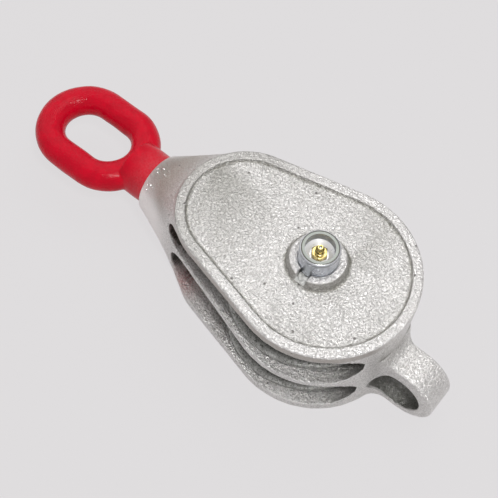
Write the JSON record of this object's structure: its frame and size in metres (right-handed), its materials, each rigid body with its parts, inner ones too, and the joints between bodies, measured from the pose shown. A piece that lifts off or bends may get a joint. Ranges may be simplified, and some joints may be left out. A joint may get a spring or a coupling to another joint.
{
  "type": "double sheave pulley block",
  "caption": "Cast pulley block with two rope sheaves on one greased pin, a swivelling oval eye at the head and a becket lug at the foot.",
  "frame": {"origin": "where the sheave pin's axis meets the rest plane, at the pin's rear end face", "axes": "+Z along the sheave pin from the rear cheek to the front cheek, +X towards the swivel eye, +Y across the cheeks; the block lies on its rear cheek"},
  "size_m": [0.4063, 0.1426, 0.1252],
  "materials": {
    "galvanised_casting": "hot-dip galvanised, rough as cast",
    "galvanised_sheave": "galvanised, rough as cast",
    "zinc_steel": "turned and zinc plated",
    "washer_steel": "hardened, plain",
    "spring_steel": "dark spring steel",
    "brass": "turned",
    "bronze": "plain bearing bronze",
    "red_paint": "glossy enamel over a forging"
  },
  "bodies": {
    "frame": {"body_casting": "galvanised_casting", "sheave_pin": "zinc_steel", "pin_lock_key": "galvanised_casting", "pin_end_washer": "washer_steel", "pin_retaining_ring": "spring_steel", "grease_nipple": "brass", "nipple_spring": "spring_steel", "swivel_bush": "bronze", "swivel_thrust_washer": "washer_steel", "front_outer_thrust_washer": "bronze", "front_inner_thrust_washer": "bronze", "rear_outer_thrust_washer": "bronze", "rear_inner_thrust_washer": "bronze"},
    "front_wheel": {"front_sheave": "galvanised_sheave", "front_sheave_bush": "bronze"},
    "rear_wheel": {"rear_sheave": "galvanised_sheave", "rear_sheave_bush": "bronze"},
    "eye": {"swivel_eye": "red_paint", "swivel_nut": "red_paint", "swivel_split_pin": "zinc_steel"},
    "check_ball": {"nipple_ball": "spring_steel"}
  },
  "joints": [
    {"name": "front_sheave_spin", "type": "hinge", "parent": "frame", "child": "front_wheel", "pos_m": [0, 0, 0.07475], "axis": [0, 0, 1], "continuous": true},
    {"name": "rear_sheave_spin", "type": "hinge", "parent": "frame", "child": "rear_wheel", "pos_m": [0, 0, 0.02925], "axis": [0, 0, 1], "continuous": true},
    {"name": "eye_swivel", "type": "hinge", "parent": "frame", "child": "eye", "pos_m": [0.157, 0, 0.052], "axis": [1, 0, 0], "continuous": true},
    {"name": "check_ball_lift", "type": "slide", "parent": "frame", "child": "check_ball", "axis": [0, 0, -1], "range_m": [0, 0.0008], "stiffness_N_per_m": 400, "springref_m": -0.001, "deforming": ["nipple_spring"]}
  ]
}
